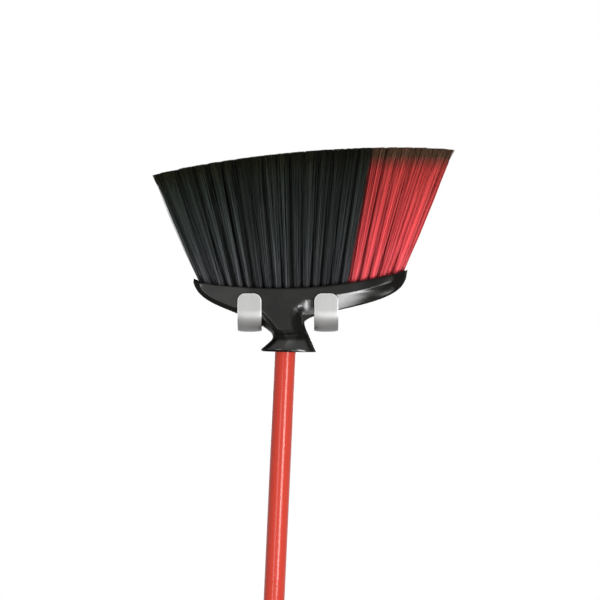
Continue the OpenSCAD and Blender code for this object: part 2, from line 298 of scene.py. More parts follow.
# Floor, world, lamps and camera, in metres
FLOOR_SIZE = 8.0
FLOOR_Z = -1.06
FLOOR_FADE = (0.6, 3.6)
FLOOR_GLOW = (0.34, 0.84)
WORLD_LIGHT = 0.28
LAMP_AIM = (0.0, -0.03, -0.03)
CAMERA_X = 0.0126
CAMERA_Z = -0.0404
CAMERA_DISTANCE = 2.4
PHOTO_ACROSS = 0.63
SENSOR_MM = 36.0

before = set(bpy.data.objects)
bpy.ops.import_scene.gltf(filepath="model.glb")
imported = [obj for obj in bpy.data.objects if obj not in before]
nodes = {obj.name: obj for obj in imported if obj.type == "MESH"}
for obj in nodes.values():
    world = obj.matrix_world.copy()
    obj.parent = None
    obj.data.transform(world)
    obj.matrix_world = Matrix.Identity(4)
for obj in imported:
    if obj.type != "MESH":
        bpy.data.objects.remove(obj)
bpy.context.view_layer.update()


# Numbers and points
def mix(a, b, t):
    return a + (b - a) * t


def mix_point(a, b, t):
    return (mix(a[0], b[0], t), mix(a[1], b[1], t))


def shifted(point, dx, dz):
    return (point[0] + dx, point[1] + dz)


def ease(low, high, value):
    t = min(1.0, max(0.0, (value - low) / (high - low)))
    return t * t * (3 - 2 * t)


def bezier(points, t):
    weights = ((1 - t) ** 3, 3 * t * (1 - t) ** 2, 3 * t * t * (1 - t), t ** 3)
    return tuple(sum(w * p[axis] for w, p in zip(weights, points)) for axis in (0, 1))


def sag(left_z, middle_z, right_z, u):
    """Height at u, from 0 to 1, of the parabola through two ends and a middle."""
    ends = left_z * (1 - u) * (1 - 2 * u) + right_z * u * (2 * u - 1)
    return ends + 4 * middle_z * u * (1 - u)


# Small tools for modelling by operators
def clear_selection():
    if bpy.context.object and bpy.context.object.mode != "OBJECT":
        bpy.ops.object.mode_set(mode="OBJECT")
    bpy.ops.object.select_all(action="DESELECT")


def take(obj):
    clear_selection()
    obj.select_set(True)
    bpy.context.view_layer.objects.active = obj


def open_mesh(obj):
    take(obj)
    bpy.ops.object.mode_set(mode="EDIT")
    return bmesh.from_edit_mesh(obj.data)


def close_mesh():
    bpy.ops.object.mode_set(mode="OBJECT")


def select_parts(obj, kind, test):
    """Selects the points, edges or faces of an open mesh that pass a test."""
    mesh = bmesh.from_edit_mesh(obj.data)
    bpy.ops.mesh.select_all(action="DESELECT")
    bpy.ops.mesh.select_mode(type=kind)
    for part in {"VERT": mesh.verts, "EDGE": mesh.edges, "FACE": mesh.faces}[kind]:
        if test(part):
            part.select_set(True)
    mesh.select_flush_mode()
    bmesh.update_edit_mesh(obj.data)


def select_edges(obj, test):
    select_parts(obj, "EDGE", lambda edge: test(edge.verts[0].co, edge.verts[1].co))


def apply_modifier(obj, kind, **settings):
    take(obj)
    modifier = obj.modifiers.new(kind.lower(), kind)
    for name, value in settings.items():
        setattr(modifier, name, value)
    bpy.ops.object.modifier_apply(modifier=modifier.name)


def apply_place(obj):
    take(obj)
    bpy.ops.object.transform_apply(location=True, rotation=True, scale=True)


def combine(obj, other, operation):
    apply_modifier(obj, "BOOLEAN", operation=operation, object=other, solver="EXACT")
    bpy.data.objects.remove(other)


def cut_away(obj, cutter):
    combine(obj, cutter, "DIFFERENCE")


def join_on(obj, other):
    combine(obj, other, "UNION")


def soften_edges(obj, width, segments=3, angle=35.0):
    apply_modifier(
        obj, "BEVEL", width=width * MM, segments=segments, limit_method="ANGLE",
        angle_limit=math.radians(angle), harden_normals=False, miter_outer="MITER_ARC",
    )


def smooth_shading(obj, angle=38.0):
    take(obj)
    bpy.ops.object.shade_smooth_by_angle(angle=math.radians(angle))


def smooth_straight(obj):
    """Smooth shading in which a large straight face keeps its own normals right up to its bevel."""
    smooth_shading(obj)
    apply_modifier(obj, "WEIGHTED_NORMAL", mode="FACE_AREA", weight=90, keep_sharp=True)


def store(obj, name, values):
    """Keeps one number for each point of the mesh, for a material to read."""
    attribute = obj.data.attributes.new(name, "FLOAT", "POINT")
    attribute.data.foreach_set("value", values)


def set_finish(obj, finish):
    obj.data.materials.clear()
    obj.data.materials.append(finish)


def dress(obj, name, body, finish, node):
    obj.name = name
    obj.data.name = name
    set_finish(obj, finish)
    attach(obj, body)
    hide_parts(node)


def add_cylinder(radius, depth, place, along="Z", sides=48):
    turn = (math.radians(90), 0, 0) if along == "Y" else (0, 0, 0)
    clear_selection()
    bpy.ops.mesh.primitive_cylinder_add(
        vertices=sides, radius=radius * MM, depth=depth * MM,
        location=[value * MM for value in place], rotation=turn,
    )
    apply_place(bpy.context.object)
    return bpy.context.object


# Shader nodes
def new_node(tree, kind, **settings):
    node = tree.nodes.new(kind)
    for name, value in settings.items():
        setattr(node, name, value)
    return node


def set_inputs(node, values):
    for name, value in values.items():
        node.inputs[name].default_value = value


def math_node(tree, operation, first, second):
    node = new_node(tree, "ShaderNodeMath", operation=operation)
    for socket, value in zip(node.inputs, (first, second)):
        if isinstance(value, float):
            socket.default_value = value
        else:
            tree.links.new(value, socket)
    return node.outputs[0]


def ramp(tree, factor, *stops):
    node = new_node(tree, "ShaderNodeValToRGB")
    elements = node.color_ramp.elements
    while len(elements) < len(stops):
        elements.new(0.5)
    for element, (place, colour) in zip(elements, stops):
        element.position = place
        element.color = (*colour, 1.0)
    tree.links.new(factor, node.inputs["Fac"])
    return node.outputs["Color"]


def two_tones(tree, factor, dark, light):
    """Colour of a noise, whose values lie mostly between these two stops."""
    return ramp(tree, factor, (0.3, dark), (0.7, light))


def spread(tree, factor, low, high, start=0.0, end=1.0):
    """Goes from low to high while the factor goes from start to end."""
    node = new_node(tree, "ShaderNodeMapRange")
    set_inputs(node, {"From Min": start, "From Max": end, "To Min": low, "To Max": high})
    tree.links.new(factor, node.inputs["Value"])
    return node.outputs["Result"]


def mix_colour(tree, factor, first, plain):
    """Goes from a colour that changes over the surface to a plain one."""
    node = new_node(tree, "ShaderNodeMix", data_type="RGBA")
    tree.links.new(factor, node.inputs["Factor"])
    tree.links.new(first, node.inputs["A"])
    node.inputs["B"].default_value = (*plain, 1.0)
    return node.outputs["Result"]


def attribute_value(tree, name):
    return new_node(tree, "ShaderNodeAttribute", attribute_name=name).outputs["Fac"]


def make_grain_group():
    """Fine grain of a made surface, and a broad cloud that goes with it."""
    group = bpy.data.node_groups.new("surface_grain", "ShaderNodeTree")
    sockets = group.interface
    sockets.new_socket("Vector", in_out="INPUT", socket_type="NodeSocketVector")
    for name in ("Fine Scale", "Cloud Scale"):
        sockets.new_socket(name, in_out="INPUT", socket_type="NodeSocketFloat")
    for name in ("Grain", "Cloud"):
        sockets.new_socket(name, in_out="OUTPUT", socket_type="NodeSocketFloat")
    inside = new_node(group, "NodeGroupInput")
    outside = new_node(group, "NodeGroupOutput")
    fine = new_node(group, "ShaderNodeTexNoise")
    set_inputs(fine, {"Detail": 4.0, "Roughness": 0.6})
    cloud = new_node(group, "ShaderNodeTexNoise")
    set_inputs(cloud, {"Detail": 2.0})
    for texture, scale, label in ((fine, "Fine Scale", "Grain"), (cloud, "Cloud Scale", "Cloud")):
        group.links.new(inside.outputs["Vector"], texture.inputs["Vector"])
        group.links.new(inside.outputs[scale], texture.inputs["Scale"])
        group.links.new(texture.outputs["Fac"], outside.inputs[label])
    return group


def place_grain(tree, fine, cloud, stretch=(1.0, 1.0, 1.0)):
    coordinates = new_node(tree, "ShaderNodeTexCoord")
    mapping = new_node(tree, "ShaderNodeMapping")
    set_inputs(mapping, {"Scale": stretch})
    tree.links.new(coordinates.outputs["Object"], mapping.inputs["Vector"])
    grain = new_node(tree, "ShaderNodeGroup", node_tree=grain_group)
    set_inputs(grain, {"Fine Scale": fine, "Cloud Scale": cloud})
    tree.links.new(mapping.outputs["Vector"], grain.inputs["Vector"])
    return grain.outputs["Grain"], grain.outputs["Cloud"]


# Materials
def start_material(name):
    material = bpy.data.materials.new(name)
    material.use_nodes = True
    tree = material.node_tree
    return material, tree, tree.nodes["Principled BSDF"]


def paint(tree, shader, colour, roughness):
    tree.links.new(colour, shader.inputs["Base Color"])
    tree.links.new(roughness, shader.inputs["Roughness"])


def raise_surface(tree, shader, height, distance, strength):
    bump = new_node(tree, "ShaderNodeBump")
    set_inputs(bump, {"Strength": strength, "Distance": distance})
    tree.links.new(height, bump.inputs["Height"])
    tree.links.new(bump.outputs["Normal"], shader.inputs["Normal"])


def make_satin_aluminium(name, dark, light, rough):
    """Metal with its grain drawn out upwards, and a painted highlight on the edges that a mesh attribute
    marks.
    """
    edge_highlight_colour = (0.85, 0.85, 0.84)
    material, tree, shader = start_material(name)
    grain, cloud = place_grain(tree, fine=2600.0, cloud=60.0, stretch=(1.0, 1.0, 0.05))
    fine_part = math_node(tree, "MULTIPLY", grain, 0.65)
    cloud_part = math_node(tree, "MULTIPLY", cloud, 0.35)
    tone = two_tones(tree, math_node(tree, "ADD", fine_part, cloud_part), dark, light)
    # Painted highlight: pale grey on the edges that the mesh marks
    colour = mix_colour(tree, attribute_value(tree, "edge_highlight"), tone, edge_highlight_colour)
    paint(tree, shader, colour, spread(tree, grain, rough - 0.08, rough + 0.1))
    raise_surface(tree, shader, grain, distance=0.00004, strength=0.35)
    set_inputs(shader, {"Metallic": 1.0})
    return material


def make_black_plastic(name, rough, gloss_and_painted_reflection):
    """Moulded plastic; its coat weight is a number, or the name of an attribute that holds it, which on the
    head is a map of painted reflection and shade.
    """
    material, tree, shader = start_material(name)
    grain, cloud = place_grain(tree, fine=900.0, cloud=45.0)
    colour = two_tones(tree, cloud, dark=(0.006, 0.006, 0.0055), light=(0.010, 0.0095, 0.0085))
    wear = math_node(tree, "MULTIPLY", grain, cloud)
    paint(tree, shader, colour, spread(tree, wear, rough - 0.05, rough + 0.14))
    height = math_node(tree, "ADD", math_node(tree, "MULTIPLY", grain, 0.15), cloud)
    raise_surface(tree, shader, height, distance=0.0006, strength=0.12)
    set_inputs(shader, {"Specular IOR Level": 0.02, "Coat Roughness": 0.17})
    if isinstance(gloss_and_painted_reflection, str):
        # The coat weight follows the stored map of painted reflection and shade, varied a little by the cloud
        wear_and_painted_reflection = math_node(tree, "MULTIPLY", spread(tree, cloud, 0.8, 1.2), attribute_value(tree, gloss_and_painted_reflection))
        tree.links.new(wear_and_painted_reflection, shader.inputs["Coat Weight"])
    else:
        set_inputs(shader, {"Coat Weight": gloss_and_painted_reflection})
    return material


def make_red_coating():
    material, tree, shader = start_material("red_coating")
    grain, cloud = place_grain(tree, fine=700.0, cloud=30.0, stretch=(1.0, 1.0, 0.2))
    colour = two_tones(tree, cloud, dark=(0.54, 0.036, 0.018), light=(0.61, 0.048, 0.025))
    paint(tree, shader, colour, spread(tree, grain, 0.26, 0.42))
    raise_surface(tree, shader, grain, distance=0.00005, strength=0.25)
    set_inputs(shader, {"Specular IOR Level": 0.1, "Coat Weight": 0.35, "Coat Roughness": 0.14})
    return material


def make_bristle(name, root, middle, upper, flagged, rough, contrast):
    """Plastic filament: a tone on each strand, its own mixed with painted shade and light from its tuft,
    darker towards its tip and dull where that is split.
    """
    material, tree, shader = start_material(name)
    tone = attribute_value(tree, "tone")
    along = attribute_value(tree, "along")
    shade = math_node(tree, "MULTIPLY", math_node(tree, "POWER", tone, 2.2), contrast)
    shade = math_node(tree, "ADD", shade, 1.0 - 0.3 * contrast)
    body = ramp(tree, along, (0.0, root), (0.4, middle), (0.83, upper), (0.94, flagged))
    toned = new_node(tree, "ShaderNodeVectorMath", operation="SCALE")
    tree.links.new(body, toned.inputs[0])
    tree.links.new(shade, toned.inputs["Scale"])
    dull = spread(tree, along, rough, 0.85, start=0.8, end=0.97)
    paint(tree, shader, toned.outputs["Vector"], dull)
    set_inputs(shader, {"Specular IOR Level": 0.12})
    return material


def make_thread_plastic():
    material, tree, shader = start_material("thread_plastic")
    grain, cloud = place_grain(tree, fine=1200.0, cloud=60.0)
    colour = two_tones(tree, cloud, dark=(0.03, 0.03, 0.03), light=(0.05, 0.05, 0.05))
    paint(tree, shader, colour, spread(tree, grain, 0.45, 0.65))
    raise_surface(tree, shader, grain, distance=0.0001, strength=0.2)
    return material


grain_group = make_grain_group()
satin_aluminium = make_satin_aluminium(
    "satin_aluminium", dark=(0.25, 0.25, 0.247), light=(0.307, 0.307, 0.304), rough=0.46
)
rivet_aluminium = make_satin_aluminium(
    "rivet_aluminium", dark=(0.31, 0.31, 0.308), light=(0.38, 0.38, 0.376), rough=0.36
)
black_plastic = make_black_plastic("black_plastic", rough=0.2, gloss_and_painted_reflection="gloss_and_painted_reflection")
cap_plastic = make_black_plastic("cap_plastic", rough=0.32, gloss_and_painted_reflection=0.3)
red_coating = make_red_coating()
thread_plastic = make_thread_plastic()
black_bristle = make_bristle(
    "black_bristle", root=(0.055, 0.056, 0.061), middle=(0.036, 0.043, 0.042),
    upper=(0.015, 0.020, 0.015), flagged=(0.010, 0.011, 0.005), rough=0.34, contrast=3.1,
)
red_bristle = make_bristle(
    "red_bristle", root=(0.84, 0.112, 0.135), middle=(0.80, 0.092, 0.102),
    upper=(0.60, 0.066, 0.060), flagged=(0.105, 0.056, 0.034), rough=0.4, contrast=1.2,
)


# Rack pieces
def cut_rivet_holes(obj, x, face_y, towards):
    """Shank hole right through and a countersink, cut from outside the face into the hole."""
    slope = (RIVET_HEAD_R - RIVET_R) / RIVET_HEAD_H
    depth = SINK_OUTSIDE + RIVET_HEAD_H + SINK_INSIDE
    sink_y = face_y + towards * (depth / 2 - SINK_OUTSIDE)
    for z in (-RIVET_PITCH / 2, RIVET_PITCH / 2):
        cut_away(obj, add_cylinder(RIVET_R, HOLE_CUTTER, (x, -PLATE_T, z), "Y", RIVET_SIDES))
        clear_selection()
        bpy.ops.mesh.primitive_cone_add(
            vertices=RIVET_SIDES, depth=depth * MM, location=(x * MM, sink_y * MM, z * MM),
            radius1=(RIVET_HEAD_R + SINK_OUTSIDE * slope) * MM,
            radius2=(RIVET_R - SINK_INSIDE * slope) * MM,
            rotation=(-towards * math.radians(90), 0, 0),
        )
        sink = bpy.context.object
        apply_place(sink)
        cut_away(obj, sink)


def make_wall_plate():
    clear_selection()
    bpy.ops.mesh.primitive_cube_add(size=1.0, location=(0, -PLATE_T / 2 * MM, 0))
    plate = bpy.context.object
    plate.scale = (PLATE_W * MM, PLATE_T * MM, PLATE_H * MM)
    apply_place(plate)
    open_mesh(plate)
    select_edges(plate, lambda a, b: abs(a.x - b.x) < SAME_M and abs(a.z - b.z) < SAME_M)
    bpy.ops.mesh.bevel(offset=PLATE_CORNER_R * MM, segments=8, affect="EDGES")
    close_mesh()
    for side in (-1, 1):
        cut_away(plate, add_cylinder(SCREW_HOLE_R, HOLE_CUTTER, (side * SCREW_SPACING / 2, 0, 0), "Y"))
        cut_rivet_holes(plate, side * HOOK_X, 0.0, -1)
    soften_edges(plate, PLATE_EDGE)
    smooth_straight(plate)
    dress(plate, "dressed_wall_plate", "holder", satin_aluminium, "wall_plate")


def crown_bend(hook, x):
    """Draws the strap's edges a little towards the axis of the bend, as a strap bent in a press has them."""
    mesh = bmesh.from_edit_mesh(hook.data)
    axis = Vector((0.0, MID_Y * MM, BEND_Z * MM))
    for vert in mesh.verts:
        arm = Vector((0.0, vert.co.y, vert.co.z)) - axis
        around = max(0.0, -arm.z) / (HOOK_R * MM)
        across = (vert.co.x / MM - x) / (STRAP_W / 2)
        if around > 0:
            vert.co -= arm.normalized() * BEND_CROWN * MM * abs(across) ** CROWN_POWER * min(1.0, around)
    bmesh.update_edit_mesh(hook.data)


def paint_edge_highlight(hook):
    """Paints a highlight on the strap's rounded edges where they turn to the sides and the top, fading out
    down the bend.
    """
    marks = hook.data.attributes.new("edge_highlight", "FLOAT", "CORNER")
    for face in hook.data.polygons:
        turned = abs(face.normal.x)
        if face.center.z > BEND_Z * MM:
            turned = math.hypot(face.normal.x, face.normal.z)
        for corner in face.loop_indices:
            height = hook.data.vertices[hook.data.loops[corner].vertex_index].co.z / MM - BEND_Z
            marks.data[corner].value = ease(*EDGE_HIGHLIGHT_TURN, turned) * ease(*EDGE_HIGHLIGHT_FADE, height)


def make_hook(side, node):
    """A strip on the strap's middle surface: back leg, half a turn, front leg; then thickness and edges."""
    x = side * HOOK_X
    back = -PLATE_T - STRAP_T / 2
    front = 2 * MID_Y - back
    leg = STRAP_TOP - BEND_Z
    tip_z = BEND_Z + TIP_RISE
    clear_selection()
    bpy.ops.mesh.primitive_plane_add(
        size=1.0, location=(x * MM, back * MM, (BEND_Z + leg / 2) * MM), rotation=(math.radians(90), 0, 0)
    )
    hook = bpy.context.object
    hook.scale = (STRAP_W * MM, leg * MM, 1.0)
    apply_place(hook)
    open_mesh(hook)
    select_edges(hook, lambda a, b: max(a.z, b.z) < (BEND_Z + NEAR) * MM)
    bpy.ops.mesh.spin(
        steps=BEND_STEPS, angle=math.radians(180), center=(x * MM, MID_Y * MM, BEND_Z * MM), axis=(1, 0, 0)
    )
    select_edges(hook, lambda a, b: max(a.y, b.y) < (front + NEAR) * MM and abs(a.z - b.z) < SAME_M)
    bpy.ops.mesh.extrude_edges_move(TRANSFORM_OT_translate={"value": (0, 0, TIP_RISE * MM)})
    select_parts(
        hook, "VERT", lambda vert: vert.co.y < (front + NEAR) * MM and vert.co.z > (tip_z - NEAR) * MM
    )
    bpy.ops.mesh.bevel(offset=TIP_CORNER_R * MM, segments=10, affect="VERTICES")
    for share in CROWN_CUTS:
        bpy.ops.mesh.select_all(action="SELECT")
        bpy.ops.mesh.bisect(plane_co=((x + share * STRAP_W / 2) * MM, 0, 0), plane_no=(1, 0, 0))
    crown_bend(hook, x)
    bpy.ops.mesh.select_all(action="SELECT")
    bpy.ops.mesh.remove_doubles(threshold=SAME_M)
    bpy.ops.mesh.normals_make_consistent(inside=False)
    close_mesh()
    apply_modifier(hook, "SOLIDIFY", thickness=STRAP_T * MM, offset=0.0, use_even_offset=True)
    soften_edges(hook, STRAP_EDGE)
    cut_rivet_holes(hook, x, -PLATE_T - STRAP_T, 1)
    smooth_straight(hook)
    paint_edge_highlight(hook)
    dress(hook, "dressed_" + node, "holder", satin_aluminium, node)


# Outlines of the broom head
def face_z(x):
    """Height of the dished face that the tufts stand in."""
    return (x - FACE_X) ** 2 / (2 * FACE_R)


def lower_edge(tip, tip_pull, waist_pull, waist):
    """Control points of a wing's lower edge, from its tip to the waist."""
    return (tip, shifted(tip, *tip_pull), shifted(waist, *waist_pull), waist)


LEFT_TIP = shifted((-LEFT_REACH, face_z(-LEFT_REACH)), *LEFT_TIP_SHIFT)
RIGHT_TIP = shifted((RIGHT_REACH, face_z(RIGHT_REACH)), *RIGHT_TIP_SHIFT)
LEFT_EDGE = lower_edge(LEFT_TIP, LEFT_TIP_PULL, LEFT_WAIST_PULL, LEFT_WAIST)
RIGHT_EDGE = lower_edge(RIGHT_TIP, RIGHT_TIP_PULL, RIGHT_WAIST_PULL, RIGHT_WAIST)
LIP_MID = face_z((RIGHT_REACH - LEFT_REACH) / 2) - LIP_H
WAIST_MID = (LEFT_WAIST[1] + RIGHT_WAIST[1]) / 2
LEDGE_LEFT = (LEFT_WAIST[0] + 0.7, LEDGE_Z - 0.8)
GROOVE_LEFT = (LEFT_WAIST[0] + 1.0, LEDGE_Z - 1.6)
NOTCH_LEFT = (LEFT_WAIST[0] + 2.5, NOTCH_Z)
FOOT_LEFT = (-SKIRT_W / 2 - 2.1, -SKIRT_DROP + 2.9)
FOOT_RIGHT = (SKIRT_W / 2 + 3.0, -SKIRT_DROP - 0.3)
FLARE_LEFT = mix_point(NOTCH_LEFT, FOOT_LEFT, 0.52)
GROOVE_HALF = NECK_HALF - 1.0
NOTCH_HALF = NECK_HALF - 1.2
FLARE_HALF = mix(GROOVE_HALF, SKIRT_HALF, 0.4)
MOUTH_HALF = SKIRT_HALF - 0.6
MOUTH_LEFT = (FOOT_LEFT[0] + 1.5, -SKIRT_DROP + 0.6)


def crease_height(x):
    """Height of the crease between the lip and the wings."""
    return sag(LEFT_TIP[1], LIP_MID, RIGHT_TIP[1], (x + LEFT_REACH) / (LEFT_REACH + RIGHT_REACH))


def lip_round(x):
    """Share of the lip's depth that is left at x, where the lip's right end rounds off."""
    v = max(0.0, 2 * (x + LEFT_REACH) / (LEFT_REACH + RIGHT_REACH + RIGHT_LEAN) - 1)
    return math.sqrt(max(0.0, 1 - v ** WING_SQUARE))


def bevel_rise(s, wall):
    """Share of the depth that a bevel has reached at s of its width: a steep wall, then an even slope."""
    s = min(1.0, max(0.0, s))
    return wall * min(1.0, s / WALL_RUN) ** 0.5 + (1 - wall) * s


def edge_bevel(edge, t, width, room):
    """Run along x of a bevel that is this wide square to the outline, at most part of the room it has."""
    ahead = bezier(edge, min(1.0, t + EDGE_PROBE))
    behind = bezier(edge, max(0.0, t - EDGE_PROBE))
    run = math.hypot(ahead[0] - behind[0], ahead[1] - behind[1])
    steep = max(LEAST_STEEP, abs(ahead[1] - behind[1]) / run)
    return min(width / steep, BEVEL_ROOM * room)


class Ring:
    """A closed outline round the head, drawn from its left end to its right end and back."""

    def __init__(self, left, right, middle_z, half, shield, shield_half, squares):
        self.left = left
        self.right = right
        self.middle_z = middle_z
        self.half = half
        self.shield = shield
        self.shield_half = shield_half
        self.squares = squares
        self.left_slope = min(LEFT_SLOPE, LEFT_SLOPE_ROOM * (shield[0] - left[0]))
        self.right_slope = min(RIGHT_SLOPE, RIGHT_SLOPE_ROOM * (right[0] - shield[1]))
        self.left_room = shield[0] - self.left_slope - left[0]
        self.right_room = right[0] - shield[1] - self.right_slope
        self.left_bevel = PLAIN_BEVEL * self.left_room
        self.right_bevel = PLAIN_BEVEL * self.right_room

    def share(self, x):
        return (x - self.left[0]) / (self.right[0] - self.left[0])

    def height(self, x):
        return sag(self.left[1], self.middle_z, self.right[1], self.share(x))

    def depth(self, x):
        v = 2 * self.share(x) - 1
        square = self.squares[0] if v < 0 else self.squares[1]
        return self.half * math.sqrt(max(0.0, 1 - abs(v) ** square))

    def stations(self):
        start, end = self.shield
        ridge = self.left[0] + self.left_bevel
        foot = start - self.left_slope
        right_foot = end + self.right_slope
        right_ridge = self.right[0] - self.right_bevel
        xs = [mix(self.left[0], ridge, f) for f in BEVEL_STEPS]
        xs += [mix(ridge, foot, f) for f in FACET_STEPS]
        xs += [mix(foot, start, f) for f in LEFT_SLOPE_STEPS]
        xs += [mix(start, end, f) for f in PLATEAU_STEPS]
        xs += [mix(end, right_foot, f) for f in RIGHT_SLOPE_STEPS]
        xs += [mix(right_foot, right_ridge, f) for f in RIGHT_FACET_STEPS]
        xs += [mix(right_ridge, self.right[0], f) for f in RIGHT_BEVEL_STEPS]
        return xs

    def points(self):
        xs = self.stations()
        front = [(x, -self.depth(x), self.height(x)) for x in xs]
        back = [(x, self.depth(x), self.height(x)) for x in reversed(xs[1:-1])]
        return front + back


class WingRing(Ring):
    """A ring round both wings: a facet and a bevel on the left, the raised shield, a facet on the right."""

    def __init__(self, t):
        self.t = t
        slack = t ** SQUARE_POWER
        squares = (mix(WING_SQUARE, LEFT_SQUARE, slack), mix(WING_SQUARE, RIGHT_SQUARE, slack))
        super().__init__(
            bezier(LEFT_EDGE, t), bezier(RIGHT_EDGE, t), mix(LIP_MID, WAIST_MID, t),
            mix(HEAD_HALF, NECK_HALF, t ** DEPTH_POWER), mix_point(SHIELD_TOP, SHIELD_FOOT, t),
            HEAD_HALF, squares,
        )
        width = mix(LEFT_END_BEVEL, LEFT_BEVEL_W, ease(*END_BEVEL_RUN, t))
        at_neck = ease(*NECK_BEVEL_RUN, t)
        self.left_bevel = mix(edge_bevel(LEFT_EDGE, t, width, self.left_room), self.left_room, at_neck)
        self.left_wall = mix(LEFT_WALL, NECK_WALL, at_neck)
        narrow = edge_bevel(RIGHT_EDGE, t, RIGHT_BEVEL_W, self.right_room)
        self.made = ease(*RIGHT_BEVEL_RUN, t)
        self.right_bevel = mix(self.right_bevel, narrow, self.made)

    def drop(self, x):
        return max(0.0, crease_height(x) - self.height(x))

    def left_depth(self, x):
        """Bevel up from the lower edge to its ridge, then a flat facet that runs on from the lip."""
        ridge = max(x, self.left[0] + self.left_bevel)
        rise = bevel_rise((x - self.left[0]) / self.left_bevel, self.left_wall)
        return (HEAD_HALF - LEFT_FACET_SLOPE * self.drop(ridge)) * rise

    def right_depth(self, x):
        """Scoop beside the neck, then a flat facet that leans back under the crease; a narrow bevel below."""
        drop = self.drop(x)
        scoop = min(SCOOP, SCOOP_SLOPE * max(0.0, drop - SCOOP_DROP)) * ease(0.0, SCOOP_REACH, x)
        lean = mix(scoop, FACET_SLOPE * drop, ease(FACET_START, FACET_FULL, x))
        rise = bevel_rise((self.right[0] - x) / self.right_bevel, RIGHT_WALL)
        end = lip_round(x)
        rounded = super().depth(x) / self.half / max(LEAST_END, end)
        return (HEAD_HALF * end - min(LEAN_ROOM * HEAD_HALF, lean)) * mix(rounded, rise, self.made)

    def depth(self, x):
        start, end = self.shield
        if x < start:
            rise = ease(start - self.left_slope, start, x)
            return mix(self.left_depth(x), self.shield_half, rise)
        facet = self.right_depth(x)
        flat = mix(facet, self.shield_half, 1 - ease(end, end + SHOULDER, x))
        bulge = 0.0
        if x < NECK_REACH:
            bulge = self.shield_half * math.sqrt(1 - max(0.0, x / NECK_REACH) ** NECK_SQUARE)
        fillet = max(0.0, 1 - abs(facet - bulge) / NECK_BLEND) ** 2 * NECK_FILLET
        round_side = min(self.shield_half, max(facet, bulge) + fillet)
        return mix(flat, round_side, ease(*ROUND_RUN, self.t))


class FaceRing(Ring):
    """A ring of the face that the tufts stand in, with a small horn at each end."""

    def __init__(self, inset, drop, horns):
        left = -LEFT_REACH + inset
        right = RIGHT_REACH + RIGHT_LEAN - inset
        half = HEAD_HALF - inset
        self.drop = drop
        self.horns = horns
        super().__init__(
            (left, face_z(left)), (right, face_z(right)), face_z((left + right) / 2),
            half, SHIELD_TOP, half, (WING_SQUARE, WING_SQUARE),
        )
        self.left_bevel = LEFT_END_BEVEL

    def height(self, x):
        left = max(0.0, 1 - (x - self.left[0]) / LEFT_HORN_RUN) ** 2
        right = max(0.0, 1 - (self.right[0] - x) / RIGHT_HORN_RUN) ** 2
        dip = LEFT_DIP * max(0.0, (DIP_START - x) / (DIP_START + LEFT_REACH)) ** DIP_POWER
        return face_z(x) - self.drop - dip + self.horns * (LEFT_HORN * left + RIGHT_HORN * right)

    def depth(self, x):
        if x > self.shield[0]:
            return super().depth(x)
        return self.half * bevel_rise((x - self.left[0]) / self.left_bevel, LEFT_WALL)


class NeckRing(Ring):
    """A plain ring round the neck or the skirt, whose right end lies on one straight side."""

    def __init__(self, left, right_z, middle_z, half, flat):
        down = (right_z - RIGHT_WAIST[1]) / (FOOT_RIGHT[1] - RIGHT_WAIST[1])
        right = (mix(RIGHT_WAIST[0], FOOT_RIGHT[0], down), right_z)
        super().__init__(left, right, middle_z, half, flat, half, (NECK_SQUARE, NECK_SQUARE))


def neck_rings():
    """Ledge under the wings, groove, notch, flare and foot, with the crease of each edge loop."""
    foot_z = FOOT_RIGHT[1]
    return [
        (NeckRing(LEDGE_LEFT, LEDGE_Z + 0.5, LEDGE_Z, HEAD_HALF, (-9, 15)), LEDGE_CREASE),
        (NeckRing(GROOVE_LEFT, LEDGE_Z - 0.3, LEDGE_Z - 0.8, GROOVE_HALF, (-9.5, 15.5)), GROOVE_CREASE),
        (NeckRing(NOTCH_LEFT, NOTCH_Z, NOTCH_Z, NOTCH_HALF, (-9.5, 16)), 0.0),
        (NeckRing(FLARE_LEFT, FLARE_Z, FLARE_Z + 0.3, FLARE_HALF, (-13, 17)), 0.0),
        (NeckRing(FOOT_LEFT, foot_z + 2, -SKIRT_DROP + 2.5, SKIRT_HALF, (-20, 20)), FOOT_CREASE),
        (NeckRing(MOUTH_LEFT, foot_z, -SKIRT_DROP, MOUTH_HALF, (-19.5, 19.5)), FOOT_CREASE),
    ]


def socket_ring(radius, rise, count):
    """A circle round the handle's axis, its points in step with those of the head's rings."""
    half = count // 2
    points = []
    for i in range(count):
        angle = math.pi * (i / half)
        x = -radius * math.cos(angle)
        y = -radius * math.sin(angle)
        points.append((
            HANDLE_X + x * math.cos(HANDLE_LEAN) + rise * math.sin(HANDLE_LEAN),
            y,
            -SKIRT_DROP - x * math.sin(HANDLE_LEAN) + rise * math.cos(HANDLE_LEAN),
        ))
    return points


def to_place(point):
    """From the head's own frame to the scene, in metres."""
    return Vector((point[0] * MM, (point[1] + MID_Y) * MM, (point[2] + BROOM_Z) * MM))


# Broom head
def bridge(vert, other):
    return next(edge for edge in vert.link_edges if edge.other_vert(vert) is other)


def loop_edges(loop):
    return [bridge(vert, loop[(i + 1) % len(loop)]) for i, vert in enumerate(loop)]


def next_loop(loop, made):
    fresh = {part for part in made if isinstance(part, bmesh.types.BMVert)}
    return [next(e.other_vert(v) for e in v.link_edges if e.other_vert(v) in fresh) for v in loop]


def draw_loops(mesh, creases, outlines):
    """Extrudes the mesh's one loop of points from outline to outline."""
    loop = list(mesh.verts)
    loops = []
    for points, crease in outlines:
        if loops:
            made = bmesh.ops.extrude_edge_only(mesh, edges=loop_edges(loop))
            loop = next_loop(loop, made["geom"])
        for vert, point in zip(loop, points):
            vert.co = to_place(point)
        for edge in loop_edges(loop):
            edge[creases] = crease
        loops.append(loop)
    return loops


